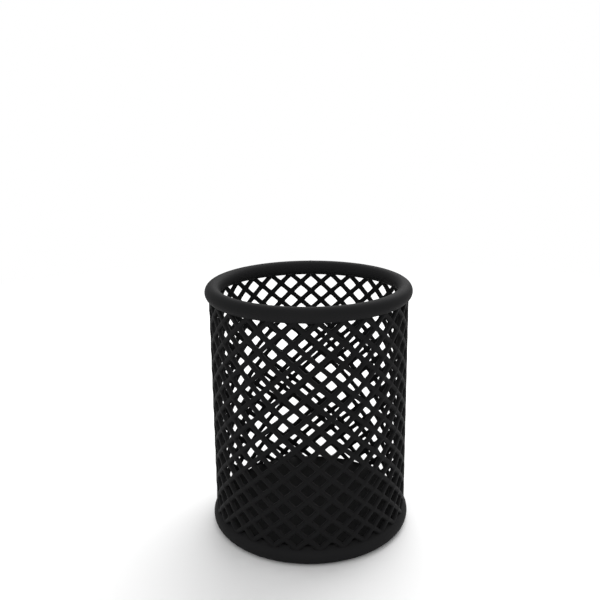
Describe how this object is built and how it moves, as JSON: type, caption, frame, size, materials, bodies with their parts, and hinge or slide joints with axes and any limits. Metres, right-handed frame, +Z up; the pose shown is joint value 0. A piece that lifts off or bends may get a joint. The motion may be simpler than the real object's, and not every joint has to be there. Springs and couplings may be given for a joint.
{
  "type": "mesh pen holder",
  "caption": "Round open-topped desk cup with a diamond mesh steel wall, a rolled tube rim, a tube base ring and a solid floor, for standing pens and pencils in.",
  "frame": {"origin": "on the table, under the middle of the cup, in the plane of the base ring's flat underside", "axes": "+Z up along the cup's axis, the front faces -Y, and the seam and both ring welds are at the back, on +Y"},
  "size_m": [0.081, 0.0811, 0.1006],
  "materials": {
    "black_mesh": "satin black powder coat",
    "black_tube": "satin black powder coat",
    "black_plate": "satin black powder coat"
  },
  "bodies": {
    "root": {"mesh_wall": "black_mesh", "seam_welds": "black_mesh", "rim_tube": "black_tube", "rim_weld": "black_tube", "base_ring": "black_tube", "base_ring_weld": "black_tube", "base_plate": "black_plate", "base_tacks": "black_plate"}
  },
  "joints": []
}
